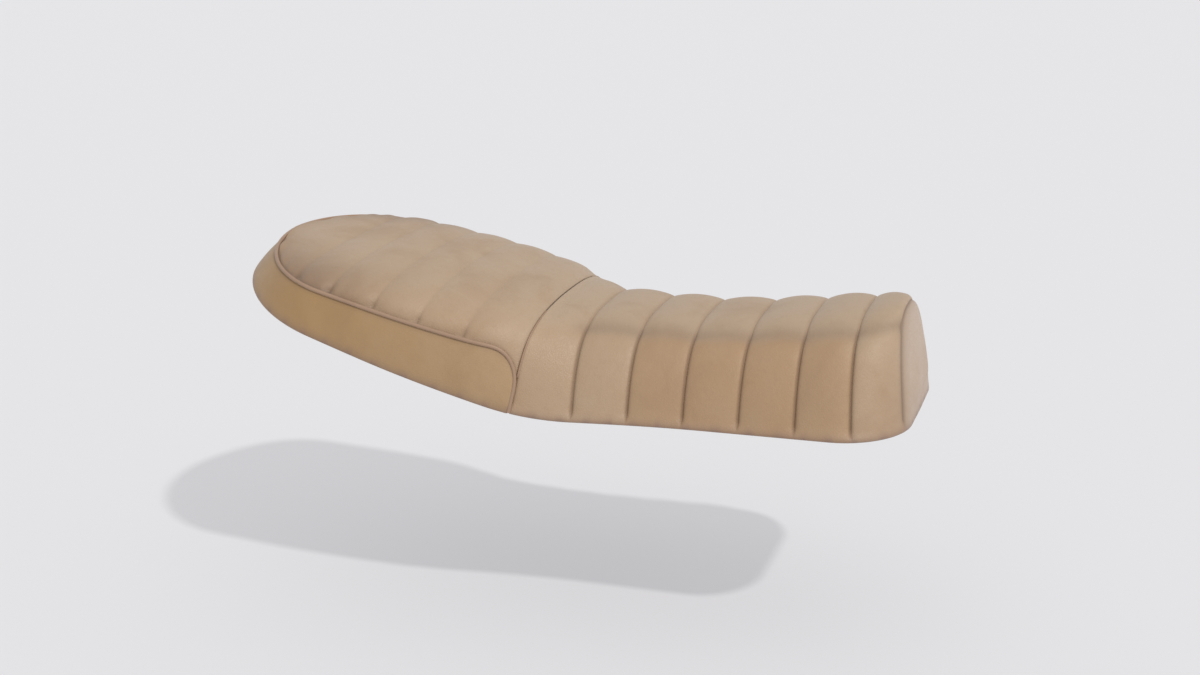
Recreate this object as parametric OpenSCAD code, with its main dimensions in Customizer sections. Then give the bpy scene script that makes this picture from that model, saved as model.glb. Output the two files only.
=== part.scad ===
// Bench saddle with a tuck-and-roll cover, a kicked-up tail and a nose hinge.
// Right-handed frame: +X towards the nose, +Y to the rider's left, +Z up, millimetres.
// The origin is the centre of the hinge bracket's bolt pattern, on its lower face.

/* [Overall size] */
// Length of the saddle along its base, tail to nose
seat_len = 600; // [480:10:760]
// Width of the base at the tail half
rear_w = 250; // [200:2:310]
// Width of the base at the nose half
nose_w = 202; // [160:2:260]
// Where the width starts to narrow, from the tail
narrow_from = 147; // [120:1:200]
// Where the width has finished narrowing
narrow_to = 440; // [360:1:480]
// Length of the rounded tail end
tail_round = 99; // [80:1:140]
// Corner radius at the nose, seen from above
nose_corner = 58; // [40:1:70]

/* [Side profile] */
// Angle of the kicked-up tail
kick_angle = 16.7; // [8:0.1:22]
// Where the base bends up, from the tail
kick_x = 291; // [270:1:320]
// Half the length of the bend
kick_blend = 38; // [20:1:50]
// Extra rise of the tail tip above a straight kick
kick_curl = 13; // [0:1:24]
// Padding height at the piping end of the tail
tail_h = 31; // [26:1:40]
// Padding height over the rear of the tail rolls
rear_h = 61; // [54:1:74]
// Padding height at the hump of the tail
hump_h = 77; // [70:1:95]
// Padding height at the waist, in front of the bend
waist_h = 78; // [68:1:92]
// Padding height at the nose
nose_h = 95; // [80:1:110]
// How far the nose face leans back at the top
nose_lean = 9; // [0:1:16]

/* [Section shape] */
// How much the sides lean in towards the crown, as a share
side_taper = 0.23; // [0.05:0.01:0.3]
// Squareness of the section over the rolls
front_square = 3.2; // [2.4:0.1:4.5]
// Squareness of the domed tail top
tail_square = 2.3; // [2:0.1:3]
// Radius of the nose's top edge
nose_edge = 11; // [6:1:16]

/* [Rolls] */
// Depth of a groove between two rolls
pleat_depth = 4.5; // [2:0.5:7]
// Length of the smooth tail panel before the first groove
tail_panel = 65; // [55:1:90]
// Pitch of the tail rolls
tail_pitch = 39.8; // [32:0.2:46]
// How many tail rolls there are
tail_rolls = 4; // [3:1:4]
// Where the cross seam sits, from the tail
cross_x = 277; // [262:1:290]
// Length of the roll that fills the bend
bend_roll = 52; // [45:1:64]
// Length from the last groove to the nose
nose_roll = 39; // [30:1:44]
// Length of the nose panel's return round the corner
nose_return = 2; // [1.5:0.5:14]
// Pitch wanted for the front rolls
roll_pitch = 46.2; // [38:0.2:54]

/* [Upholstery] */
// Thickness of the leather
cover_t = 1.8; // [1.2:0.1:2.5]
// Thickness of the sewn padding under the leather, with the leather
padding_t = 10; // [8:0.5:14]
// Gap between soft layers
layer_gap = 0.5; // [0.4:0.1:0.8]
// Height of the piping above the base at the tail tip
pipe_h_tail = 31; // [26:1:38]
// Height of the piping above the base where it turns down
pipe_h_seam = 55; // [46:1:60]
// How far the skirt leans in at the sides
pipe_in = 5; // [2:0.5:12]
// How far the skirt leans in at the tail tip
pipe_back = 15; // [12:1:26]
// Radius of the piping's turn down to the base
pipe_turn = 30; // [16:1:36]
// Diameter of the piping
pipe_d = 3.8; // [3:0.2:6]
// Width of the hem turned in under the rim
hem_w = 12; // [9:0.5:14]
// Distance between staples
staple_step = 36; // [28:2:50]

/* [Seat pan] */
// Gap between the side padding and the pan's rim
rim_gap = 0.8; // [0.6:0.1:2]
// Width of the pan's rim rail
rim_w = 11; // [9:0.5:14]
// Depth of the recess under the pan plate
recess = 10; // [8:0.5:12]
// Thickness of the pan plate
pan_t = 3.5; // [2.5:0.5:5]

/* [Hinge] */
// Distance of the hinge pin from the nose
pin_back = 60; // [52:1:75]
// Drop of the pin's centre below the base plane
pin_drop = 3; // [2:0.5:5]
// Radius of the hinge pin
pin_r = 4; // [3.5:0.5:5]
// Running clearance of the pin in its bushes, radial
pin_clear = 0.05; // [0.02:0.01:0.1]
// Wall of a hinge bush
bush_t = 1.5; // [1:0.25:2]
// Outer radius of the knuckle
knuckle_r = 7.5; // [7:0.5:9]
// Length of the knuckle
knuckle_len = 30; // [24:1:40]
// Thickness of the hinge steel
hinge_t = 3; // [2.5:0.5:4]
// Width of the hinge leaves
leaf_w = 60; // [54:1:80]
// Length of the hinge leaves behind the pin
leaf_len = 62; // [56:1:80]
// Bolt spacing along the saddle, in both leaves
bolt_dx = 32; // [28:1:40]
// Bolt spacing across the saddle, in the frame leaf
bolt_dy = 42; // [40:1:50]
// Clearance hole radius for the hinge bolts
bolt_hole_r = 3.3; // [3.2:0.1:3.6]

/* [Rests and latch] */
// Distance of the rear pair of rubber rests from the nose
rest_rear = 240; // [225:1:255]
// Distance of the front pair of rubber rests from the nose
rest_front = 150; // [146:1:170]
// Half the spacing of a pair of rests
rest_y = 45; // [35:1:55]
// Radius of a rubber rest
rest_r = 9; // [8:0.5:11]
// Where the latch loop sits, from the tail
latch_x = 150; // [130:1:180]
// Centre-line radius of the latch loop's bend
loop_r = 16; // [12:1:20]
// Radius of the latch loop's rod
rod_r = 4; // [3:0.5:5]
// Straight leg of the loop below the pan edge
loop_leg = 8; // [4:1:12]

/* [Hidden] */
$fn = 48;

leather = [0.72, 0.58, 0.44];
skirt_tan = [0.70, 0.55, 0.36];
foam_cream = [0.90, 0.86, 0.70];
pad_white = [0.93, 0.92, 0.88];
black = [0.10, 0.10, 0.11];
zinc = [0.70, 0.71, 0.72];
bronze = [0.62, 0.48, 0.28];

// Grooves: tail rolls, then the cross seam, then the bend roll and the even front rolls.
front_run = seat_len - nose_roll - cross_x - bend_roll;
front_rolls = round(front_run / roll_pitch);
tail_grooves = [for (i = [0:tail_rolls]) tail_panel + i * tail_pitch];
front_grooves = [for (i = [0:front_rolls])
    cross_x + bend_roll + i * front_run / front_rolls];
nose_seam = seat_len - nose_return;
grooves = concat(tail_grooves, [cross_x], front_grooves, [nose_seam]);

// The section changes from the domed tail to the square front between these two stations.
blend_from = 225;
blend_to = 335;

// Heights of the parts in the stack under the padding, above the base plane.
pan_under = recess;
pan_top = recess + pan_t;
foam_drop = pan_top + layer_gap;
rim_foot = cover_t + 0.1;
rim_in = padding_t + rim_gap;

// Hinge geometry. The frame leaf's lower face is the plane that the rests reach too.
pin_x = seat_len - pin_back;
pin_z = -pin_drop;
bush_r = pin_r + pin_clear + bush_t;
leaf_gap = 0.5;
mount_z = pin_z - knuckle_r - leaf_gap - hinge_t;
flange_t = 1.5;
side_play = 0.3;
ear_in = knuckle_len / 2 + flange_t + side_play;
ear_out = ear_in + hinge_t;
bolt_x0 = pin_x - 18;
bolt_rows = [bolt_x0, bolt_x0 - bolt_dx];
mount_x = bolt_x0 - bolt_dx / 2;
backing_t = 2.5;
pin_head_r = pin_r + 2.5;
pin_head_t = 2.5;
washer_t = 1;
clip_t = 1;
groove_r = pin_r - 0.8;

// Fasteners: shank radius, nut or head size across the corners, and height.
m6_r = 3;
m6_hex = 5.77;
m6_nut_h = 5;
m6_head_h = 4;
m5_r = 2.5;
m5_hex = 4.62;
m5_nut_h = 4;
m8_hex = 7.5;
m8_nut_h = 6.5;
pocket_gap = 2;

function clamp01(t) = min(1, max(0, t));
function smooth(t) = let (c = clamp01(t)) c * c * (3 - 2 * c);
function mix(a, b, t) = a + (b - a) * t;

// Base line: flat at the nose, bending up to the kick angle, with a little curl on top.
function base_z(x) = let (d = kick_x - x, k = tan(kick_angle), h = kick_blend)
    (d < -h ? 0 : d > h ? k * d : k * (d + h) * (d + h) / (4 * h))
    + kick_curl * pow(max(d, 0) / kick_x, 2);
function base_slope(x) = (base_z(x - 1) - base_z(x + 1)) / 2;

// A point at station x, y to the side and z above the base, square to the base line.
function at(x, y, z) =
    [x + base_slope(x) * z - nose_lean * clamp01((x - seat_len + 100) / 100) * z / nose_h,
     y, base_z(x) + z];

// Height of the crown above the base: a smooth curve through the named heights. The roll in
// the bend stands a little proud of the waist.
bend_rise = 2.5;
crown = [[-60, 2 * tail_h - 46], [pipe_back, tail_h + 2], [110, rear_h], [200, hump_h],
    [300, waist_h + bend_rise], [380, waist_h], [max(450, seat_len - 150), waist_h + 1],
    [seat_len, nose_h], [seat_len + 90, nose_h + 9]];
function seg(x, i = 1) = i >= len(crown) - 3 || x < crown[i + 1][0] ? i : seg(x, i + 1);
function tangent(i) = (crown[i + 1][1] - crown[i - 1][1]) / (crown[i + 1][0] - crown[i - 1][0]);
function crown_h(x) = let (i = seg(x), a = crown[i], b = crown[i + 1], w = b[0] - a[0],
        t = (x - a[0]) / w)
    a[1] * (1 + 2 * t) * (1 - t) * (1 - t) + b[1] * t * t * (3 - 2 * t)
    + w * tangent(i) * t * (1 - t) * (1 - t) - w * tangent(i + 1) * t * t * (1 - t);

// Plan: station s is measured along the base edge; inset d shrinks the outline evenly,
// and start x0 is where the outline begins at the tail tip.
function plan_x(s, d, x0) = s < tail_round ? x0 + (tail_round - x0) * s / tail_round
    : s > seat_len - nose_corner
        ? seat_len - nose_corner + (s - seat_len + nose_corner) * (nose_corner - d) / nose_corner
        : s;
function plan_w(s, d) = let (
        full = mix(rear_w, nose_w, smooth((s - narrow_from) / (narrow_to - narrow_from))) / 2 - d,
        a = clamp01(1 - s / tail_round),
        b = clamp01((s - seat_len + nose_corner) / nose_corner))
    full * sqrt(1 - a * a) - (nose_corner - d) * (1 - sqrt(1 - b * b));

// Piping height above the base at station s, and how far a section is a front one.
function pipe_h(s) = mix(pipe_h_tail, pipe_h_seam, clamp01(s / 330));
function front_share(s) = smooth((s - blend_from) / (blend_to - blend_from));
function pleat(s, i = 0) = let (g = grooves)
    i > len(g) - 2 || s < g[0] ? 0
    : s <= g[i + 1] ? 1 - pow(max(0, sin(180 * (s - g[i]) / (g[i + 1] - g[i]))), 0.55)
    : pleat(s, i + 1);

// Half-width of the side at height h, for a section inset by d.
function side_w(s, h, d) = let (w = plan_w(s, d), top = crown_h(s) - d,
        r = min(1, h / top), f = front_share(s),
        hp = pipe_h(s), tail = w - pipe_in * h / hp,
        front = w * pow(max(0, 1 - pow(r, front_square)), 1 / front_square) * (1 - side_taper * r))
    mix(tail, front, f);
function side_start(s, h, d) = (d + pipe_back * h / pipe_h(s)) * clamp01(1 - s / tail_round);

// A point on the side at station s and height h; side is -1 for the right, 1 for the left.
function side_at(s, h, d, side) =
    let (x = plan_x(s, d, 0) + side_start(s, h, d)) at(x, side * max(side_w(s, h, d), 0), h);

// A point on the top: t runs from 0 at the right piping line to 1 at the left one. The tail's
// top starts on the inner side of the piping.
edge_in = 0.4 * pipe_d;
function top_at(s, t, d, pleated) = let (
        dd = d + (pleated ? pleat_depth * pleat(s) : 0),
        x = plan_x(s, dd, pipe_back + edge_in + d), w = max(0.5, plan_w(s, dd)), hp = pipe_h(s),
        cap = nose_edge * (1 - sqrt(1 - pow(clamp01((x - seat_len + nose_edge) / nose_edge), 2))),
        top = max(hp + 1, crown_h(x) - dd - cap), f = front_share(s),
        a = 180 * t, c = cos(a), sn = sin(a), m = 2 / tail_square,
        ty = max(0.4, w - pipe_in - edge_in) * sign(c) * pow(abs(c), m),
        tz = hp + (top - hp) * pow(abs(sn), m),
        a0 = asin(pow(hp / top, front_square / 2)), af = a0 + t * (180 - 2 * a0),
        n = 2 / front_square, rel = pow(max(0, sin(af)), n),
        fy = w * sign(cos(af)) * pow(abs(cos(af)), n) * (1 - side_taper * rel), fz = top * rel)
    at(x, -mix(ty, fy, f), mix(tz, fz, f));

// The whole section from the right base edge over the top to the left one, q from 0 to 1.
// On the sides the grooves fade out towards the hem.
skirt_q = 0.18;
fade_h = 16;
function flank_at(s, u, d, pleated, z0, side) = let (h = mix(z0, pipe_h(s), u))
    side_at(s, h, d + (pleated ? pleat_depth * pleat(s) * clamp01(h / fade_h) : 0), side);
function section_at(s, q, d, pleated, z0 = 0) =
    q < skirt_q ? flank_at(s, q / skirt_q, d, pleated, z0, -1)
    : q > 1 - skirt_q ? flank_at(s, (1 - q) / skirt_q, d, pleated, z0, 1)
    : top_at(s, (q - skirt_q) / (1 - 2 * skirt_q), d, pleated);

// Station lists: even steps between neighbouring knots.
function steps(a, b, n) = [for (i = [0:n - 1]) a + (b - a) * i / n];
function roll_stations(g, n) = concat([for (i = [0:len(g) - 2]) each steps(g[i], g[i + 1], n)],
    [g[len(g) - 1]]);
tail_stations = [for (i = [0:9]) tail_panel * pow((i + 0.6) / 10, 2)];
nose_turn = asin(1 - nose_return / nose_corner);
nose_stations = [for (i = [1:5])
    seat_len - nose_corner + nose_corner * sin(mix(nose_turn, 90, i / 5))];
function spread(n, a = 0, b = 1) = [for (i = [0:n]) a + (b - a) * i / n];
section_q = concat(spread(3, 0, skirt_q), spread(16, skirt_q, 1 - skirt_q),
    spread(3, 1 - skirt_q, 1));
function unique(v) = [for (i = [0:len(v) - 1]) if (i == 0 || v[i] - v[i - 1] > 1e-6) v[i]];
full_q = unique(section_q);
top_t = spread(16);

// A closed slab between two grids of points with the same rows and columns.
module slab(outer, inner) {
    r = len(outer);
    c = len(outer[0]);
    o = r * c;
    pts = concat([for (row = outer) each row], [for (row = inner) each row]);
    faces = concat(
        [for (i = [0:r - 2], j = [0:c - 2]) each [[i * c + j, i * c + j + 1, (i + 1) * c + j + 1],
            [i * c + j, (i + 1) * c + j + 1, (i + 1) * c + j]]],
        [for (i = [0:r - 2], j = [0:c - 2]) each [[o + i * c + j, o + (i + 1) * c + j + 1,
            o + i * c + j + 1], [o + i * c + j, o + (i + 1) * c + j, o + (i + 1) * c + j + 1]]],
        [for (j = [0:c - 2]) each [[j, o + j, o + j + 1], [j, o + j + 1, j + 1]]],
        [for (j = [0:c - 2], k = (r - 1) * c) each [[k + j, k + j + 1, o + k + j + 1],
            [k + j, o + k + j + 1, o + k + j]]],
        [for (i = [0:r - 2]) each [[i * c, (i + 1) * c, o + (i + 1) * c],
            [i * c, o + (i + 1) * c, o + i * c]]],
        [for (i = [0:r - 2], k = c - 1) each [[i * c + k, o + (i + 1) * c + k, (i + 1) * c + k],
            [i * c + k, o + i * c + k, o + (i + 1) * c + k]]]);
    polyhedron(pts, faces, convexity = 6);
}

// A closed solid lofted through rings of points, with flat ends.
module loft(rings) {
    r = len(rings);
    c = len(rings[0]);
    faces = concat(
        [for (i = [0:r - 2], j = [0:c - 1], k = (j + 1) % c) each [
            [i * c + j, i * c + k, (i + 1) * c + k], [i * c + j, (i + 1) * c + k, (i + 1) * c + j]]],
        [[for (j = [c - 1:-1:0]) j]], [[for (j = [0:c - 1]) (r - 1) * c + j]]);
    polyhedron([for (row = rings) each row], faces, convexity = 6);
}

// Upholstery layers.
module roll_slab(stations, qs, d0, d1, pleat_in, z0 = 0) {
    slab([for (s = stations) [for (q = qs) section_at(s, q, d0, true, z0)]],
         [for (s = stations) [for (q = qs) section_at(s, q, d1, pleat_in, z0)]]);
}

module top_slab(stations, d0, d1, pleat_in) {
    slab([for (s = stations) [for (t = top_t) top_at(s, t, d0, true)]],
         [for (s = stations) [for (t = top_t) top_at(s, t, d1, pleat_in)]]);
}

seam_gap = 0.4;
hem_gap = 1;
core_gap = 1.5;
front_stations = roll_stations(concat([cross_x + seam_gap], front_grooves, [nose_seam]), 6);
rear_stations = concat(tail_stations, roll_stations(concat(tail_grooves, [cross_x - seam_gap]), 6));
pad_d = cover_t + layer_gap;
core_d = padding_t + core_gap;
pad_foot = cover_t + layer_gap;

module pleated_front_cover() color(leather)
    roll_slab(front_stations, full_q, 0, cover_t, true);

module pleated_rear_cover() color(leather)
    top_slab(rear_stations, 0, cover_t, true);

module front_roll_padding() color(pad_white)
    roll_slab(front_stations, full_q, pad_d, padding_t, false, pad_foot);

module rear_roll_padding() color(pad_white)
    top_slab([for (s = rear_stations) if (s > 6) s], pad_d, padding_t, false);

// The skirt runs from the seam on the right, round the tail tip, to the seam on the left.
skirt_end = cross_x - 2;
skirt_path = concat(
    [for (i = [0:7]) [mix(skirt_end, tail_round, i / 8), -1]],
    [for (i = [0:10]) [tail_round * (1 - sin(90 * i / 10)), -1]],
    [for (i = [9:-1:0]) [tail_round * (1 - sin(90 * i / 10)), 1]],
    [for (i = [7:-1:0]) [mix(skirt_end, tail_round, i / 8), 1]]);
function skirt_grid(d, low, high) = [for (k = spread(3))
    [for (p = skirt_path) side_at(p[0], mix(low, pipe_h(p[0]) - high, k), d, p[1])]];

module tail_skirt() color(skirt_tan)
    slab(skirt_grid(0, 0, pipe_d / 2), skirt_grid(cover_t, 0, pipe_d / 2));

module skirt_padding() color(pad_white)
    slab(skirt_grid(pad_d, pad_foot, pipe_d), skirt_grid(padding_t, pad_foot, pipe_d));

// The nose: the end of the section with its flat face, closed by a matching inner wall.
module nose_shell(d0, d1, z0) {
    st = concat([nose_seam + seam_gap], nose_stations);
    r = len(st);
    c = len(full_q);
    o = r * c;
    outer = [for (s = st) for (q = full_q) section_at(s, q, d0, false, z0)];
    inner = [for (s = st) for (q = full_q) section_at(s, q, d1, false, z0)];
    e = (r - 1) * c;
    faces = concat(
        [for (i = [0:r - 2], j = [0:c - 2]) each [[i * c + j, i * c + j + 1, (i + 1) * c + j + 1],
            [i * c + j, (i + 1) * c + j + 1, (i + 1) * c + j]]],
        [for (i = [0:r - 2], j = [0:c - 2]) each [[o + i * c + j, o + (i + 1) * c + j + 1,
            o + i * c + j + 1], [o + i * c + j, o + (i + 1) * c + j, o + (i + 1) * c + j + 1]]],
        [for (j = [0:c - 2]) each [[j, o + j, o + j + 1], [j, o + j + 1, j + 1]]],
        [for (i = [0:r - 2]) each [[i * c, (i + 1) * c, o + (i + 1) * c],
            [i * c, o + (i + 1) * c, o + i * c]]],
        [for (i = [0:r - 2], k = c - 1) each [[i * c + k, o + (i + 1) * c + k, (i + 1) * c + k],
            [i * c + k, o + i * c + k, o + (i + 1) * c + k]]],
        [[for (j = [0:c - 1]) e + j]], [[for (j = [c - 1:-1:0]) o + e + j]],
        [[e, e + c - 1, o + e + c - 1], [e, o + e + c - 1, o + e]]);
    polyhedron(concat(outer, inner), faces, convexity = 6);
}

module nose_panel() color(leather)
    nose_shell(0, cover_t, 0);

module nose_padding() color(pad_white)
    nose_shell(pad_d, padding_t, pad_foot);

// Foam block: a loft between the pan and the padding, with pockets for what stands up in it.
core_stations = concat([for (i = [0:6]) tail_round * (1 - sin(90 * (6.6 - i) / 7))],
    steps(tail_round, seat_len - nose_corner, 26),
    [for (i = [0:4]) seat_len - nose_corner + nose_corner * sin(90 * i / 4)]);

module foam_core() color(foam_cream) difference() {
    loft([for (s = core_stations) [for (q = full_q)
        section_at(s, q, core_d, false, foam_drop)]]);
    translate([pin_x - leaf_len - pocket_gap, -leaf_w / 2 - pocket_gap, 0])
        cube([leaf_len + knuckle_r + 5 + 2 * pocket_gap, leaf_w + 2 * pocket_gap,
            pan_top + backing_t + m6_nut_h + 2 * pocket_gap]);
    for (p = rests)
        translate([p[0], p[1], 0]) cylinder(r = m5_hex + pocket_gap, h = pan_top + m5_nut_h + 5);
    on_base(latch_x)
        translate([-latch_plate_x / 2 - pocket_gap, -latch_plate_y / 2 - pocket_gap, 0])
            cube([latch_plate_x + 2 * pocket_gap, latch_plate_y + 2 * pocket_gap,
                latch_top + backing_t + m8_nut_h + 3 * pocket_gap]);
}

// Piping: a round cord that follows the skirt's top and turns down to the base at both seams.
function turn_x(a) = cross_x - pipe_turn + pipe_turn * sin(a);
function turn_pt(side, a) = side_at(turn_x(a), pipe_h(turn_x(a)) - pipe_turn * (1 - cos(a)), 0, side);
function turn_path(side) = concat([for (h = [3, 12, 21]) side_at(cross_x, h, 0, side)],
    [for (a = [90, 60, 30]) turn_pt(side, a)]);
pipe_run = concat([for (i = [0:8]) mix(cross_x - pipe_turn, tail_round, i / 9)],
    [for (i = [0:11]) tail_round * (1 - sin(90 * i / 12))]);
function along(side) = [for (s = pipe_run) side_at(s, pipe_h(s), 0, side)];
function reversed(v) = [for (i = [len(v) - 1:-1:0]) v[i]];
pipe_path = concat(turn_path(-1), along(-1), [side_at(0, pipe_h(0), 0, 1)],
    reversed(along(1)), reversed(turn_path(1)));
function unit(v) = v / norm(v);

module tube(path, r, sides) {
    n = len(path);
    loft([for (i = [0:n - 1]) let (
            t = unit(path[min(i + 1, n - 1)] - path[max(i - 1, 0)]),
            side = unit(cross(t, [0.05, 0, 1])), up = cross(side, t))
        [for (k = [0:sides - 1]) path[i] + r * (cos(360 * k / sides) * side
            + sin(360 * k / sides) * up)]]);
}

module tail_piping() color(leather)
    tube(pipe_path, pipe_d / 2, 8);

// Rim outline in plan at inset d: right side from the tail tip to the nose, then back.
rim_stations = concat([for (i = [9:-1:0]) tail_round * (1 - sin(90 * i / 9))],
    steps(tail_round, seat_len - nose_corner, 18),
    [for (i = [0:6]) seat_len - nose_corner + nose_corner * sin(90 * i / 6)]);
rim_half = unique([for (s = rim_stations) if (s > 0.5) s]);
function rim_pt(s, d, z, side) = at(plan_x(s, d, d), side * plan_w(s, d), z);
function rim_loop(d, z) = concat([at(d, 0, z)], [for (s = rim_half) rim_pt(s, d, z, -1)],
    [for (s = reversed(rim_half)) rim_pt(s, d, z, 1)]);
function side_loop(d, z) = concat([at(side_start(0, z, d), 0, z)],
    [for (s = rim_half) side_at(s, z, d, -1)],
    [for (s = reversed(rim_half)) side_at(s, z, d, 1)]);
loop_n = 2 * len(rim_half) + 1;

function wall(a, b, n) = [for (j = [0:n - 1], k = (j + 1) % n) each [
    [a + j, a + k, b + k], [a + j, b + k, b + j]]];
// Strips across a loop, from its right side to its left one; up tells which way they face.
function deck(a, n, up) = [for (i = [0:(n - 3) / 2]) let (l = a + i + 1, m = a + i,
        r0 = i == 0 ? a : a + n - i, r1 = a + n - 1 - i)
    each (i == 0 ? [up ? [m, l, r1] : [m, r1, l]]
        : [up ? [m, l, r1] : [m, r1, l], up ? [m, r1, r0] : [m, r0, r1]])];

module ring_band(d0, d1, z0, z1) {
    n = loop_n;
    polyhedron(concat(rim_loop(d0, z0), rim_loop(d0, z1), rim_loop(d1, z1), rim_loop(d1, z0)),
        concat(wall(0, n, n), wall(n, 2 * n, n), wall(2 * n, 3 * n, n), wall(3 * n, 0, n)),
        convexity = 6);
}

module hem_band() color(leather)
    ring_band(cover_t + hem_gap, rim_in + hem_w - 4, 0, cover_t);

// One staple: a flat crown with two legs, in its own frame with the crown downwards.
module staple() {
    crown_w = 10;
    wire = 0.7;
    translate([-crown_w / 2, -wire / 2, -wire]) cube([crown_w, wire, wire]);
    for (x = [-crown_w / 2, crown_w / 2 - wire])
        translate([x, -wire / 2, -wire / 2]) cube([wire, wire, 6]);
}

// Places a child on the underside of the rim, turned along the edge and with the slope.
module on_rim(s, side, z) {
    d = rim_in + rim_w / 2;
    p = rim_pt(s, d, z, side);
    v = unit(rim_pt(s + 0.5, d, z, side) - rim_pt(max(s - 0.5, 0.01), d, z, side));
    up = unit([base_slope(plan_x(s, d, d)), 0, 1]);
    w = unit(cross(up, v));
    u = cross(w, up);
    multmatrix([[u[0], w[0], up[0], p[0]], [u[1], w[1], up[1], p[1]], [u[2], w[2], up[2], p[2]]])
        children();
}

straight_n = floor((seat_len - nose_corner - tail_round) / staple_step);
staple_stations = concat([for (a = [8:15:83]) tail_round * (1 - cos(a))],
    [for (i = [0:straight_n]) tail_round + i * (seat_len - nose_corner - tail_round) / straight_n],
    [seat_len - nose_corner * 0.13]);

module hem_staples() color(zinc)
    for (side = [-1, 1], s = staple_stations)
        on_rim(s, side, 0) staple();

// Pan: a moulded tray with a rim rail that the hem is stapled to.
module pan_body() {
    n = loop_n;
    d = rim_in;
    polyhedron(concat(side_loop(d, rim_foot), side_loop(d, pan_top),
            side_loop(d + rim_w, pan_under), side_loop(d + rim_w, rim_foot)),
        concat(wall(0, n, n), deck(n, n, true), deck(2 * n, n, false), wall(2 * n, 3 * n, n),
            wall(3 * n, 0, n)), convexity = 6);
}

// The rear rests keep to the flat part of the base, clear of the bend.
rest_rear_x = max(seat_len - rest_rear, kick_x + kick_blend + 2 * rest_r);
rests = [for (x = [rest_rear_x, seat_len - rest_front], y = [-1, 1]) [x, y * rest_y]];

// The seat leaf's bolts stand further in than the frame leaf's, clear of their ends.
seat_bolt_y = bolt_dy / 2 - 10.5;
module leaf_holes(dy, z, h) {
    for (x = bolt_rows, y = [-dy, dy])
        translate([x, y, z]) cylinder(r = bolt_hole_r, h = h);
}

// Local frame on the base at station x: z runs square to the base.
module on_base(x) {
    translate(at(x, 0, 0)) rotate([0, atan(base_slope(x)), 0]) children();
}
latch_scale = 1 / cos(atan(base_slope(latch_x)));
latch_under = pan_under * latch_scale - 0.1;
latch_top = pan_top * latch_scale + 0.1;
latch_plate_x = 26;
latch_plate_y = 2 * loop_r + 26;

module seat_pan() color(black) difference() {
    pan_body();
    leaf_holes(seat_bolt_y, pan_under - 1, pan_t + 2);
    for (p = rests)
        translate([p[0], p[1], pan_under - 1]) cylinder(r = m5_r + 0.2, h = pan_t + 2);
    on_base(latch_x)
        for (y = [-loop_r, loop_r])
            translate([0, y, latch_under - 2]) cylinder(r = rod_r + 0.3, h = pan_t + 4);
}

// Rubber rests: stepped buffers with the screw head sunk in.
sink_h = 7;
module rest_pad(p) color(black) difference() {
    translate([p[0], p[1], mount_z]) {
        cylinder(r = rest_r, h = pan_under - mount_z);
        translate([0, 0, pan_under - mount_z - 4]) cylinder(r = rest_r + 2, h = 4);
    }
    translate([p[0], p[1], mount_z - 1]) cylinder(r = m5_r + 0.2, h = pan_under - mount_z + 2);
    translate([p[0], p[1], mount_z - 1]) cylinder(r = 5.2, h = sink_h + 1);
}
module rest_rear_right() rest_pad(rests[0]);
module rest_rear_left() rest_pad(rests[1]);
module rest_front_right() rest_pad(rests[2]);
module rest_front_left() rest_pad(rests[3]);

module rest_screws() color(zinc) for (p = rests)
    translate([p[0], p[1], mount_z + sink_h - 3]) difference() {
        union() {
            cylinder(r = 4.6, h = 3);
            cylinder(r = m5_r, h = pan_top + m5_nut_h + 2 - mount_z - sink_h + 3);
        }
        translate([0, 0, -1]) cylinder(r = 1.7, h = 2.6, $fn = 6);
    }

module rest_nuts() color(zinc) for (p = rests)
    translate([p[0], p[1], pan_top]) difference() {
        cylinder(r = m5_hex, h = m5_nut_h, $fn = 6);
        translate([0, 0, -1]) cylinder(r = m5_r, h = m5_nut_h + 2);
    }

// Hinge: a seat leaf with two ears, a frame leaf with a knuckle, two bushes and a pin.
leaf_front = knuckle_r + 5;
module leaf_plate(z, t, front) {
    translate([pin_x - leaf_len, -leaf_w / 2, z]) cube([leaf_len + front, leaf_w, t]);
}

module along_pin(y0) {
    translate([pin_x, y0, pin_z]) rotate([-90, 0, 0]) children();
}

module hinge_seat_leaf() color(black) difference() {
    union() {
        leaf_plate(pan_under - hinge_t, hinge_t, leaf_front);
        for (y = [ear_in, -ear_out])
            along_pin(y) {
                cylinder(r = knuckle_r, h = hinge_t);
                translate([-knuckle_r, -(pan_under - hinge_t / 2 - pin_z), 0])
                    cube([2 * knuckle_r, pan_under - hinge_t / 2 - pin_z, hinge_t]);
            }
    }
    leaf_holes(seat_bolt_y, pan_under - hinge_t - 1, hinge_t + 2);
    along_pin(-ear_out - 1) cylinder(r = pin_r, h = 2 * ear_out + 2);
}

module hinge_backing_plate() color(zinc) difference() {
    leaf_plate(pan_top, backing_t, leaf_front);
    leaf_holes(seat_bolt_y, pan_top - 1, backing_t + 2);
}

module hinge_bolts() color(zinc) for (x = bolt_rows, y = [-seat_bolt_y, seat_bolt_y])
    translate([x, y, pan_under - hinge_t]) {
        translate([0, 0, -m6_head_h]) cylinder(r = m6_hex, h = m6_head_h, $fn = 6);
        cylinder(r = m6_r, h = hinge_t + pan_t + backing_t + m6_nut_h + 1.5);
    }

module hinge_nuts() color(zinc) for (x = bolt_rows, y = [-seat_bolt_y, seat_bolt_y])
    translate([x, y, pan_top + backing_t]) difference() {
        cylinder(r = m6_hex, h = m6_nut_h, $fn = 6);
        translate([0, 0, -1]) cylinder(r = m6_r, h = m6_nut_h + 2);
    }

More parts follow.
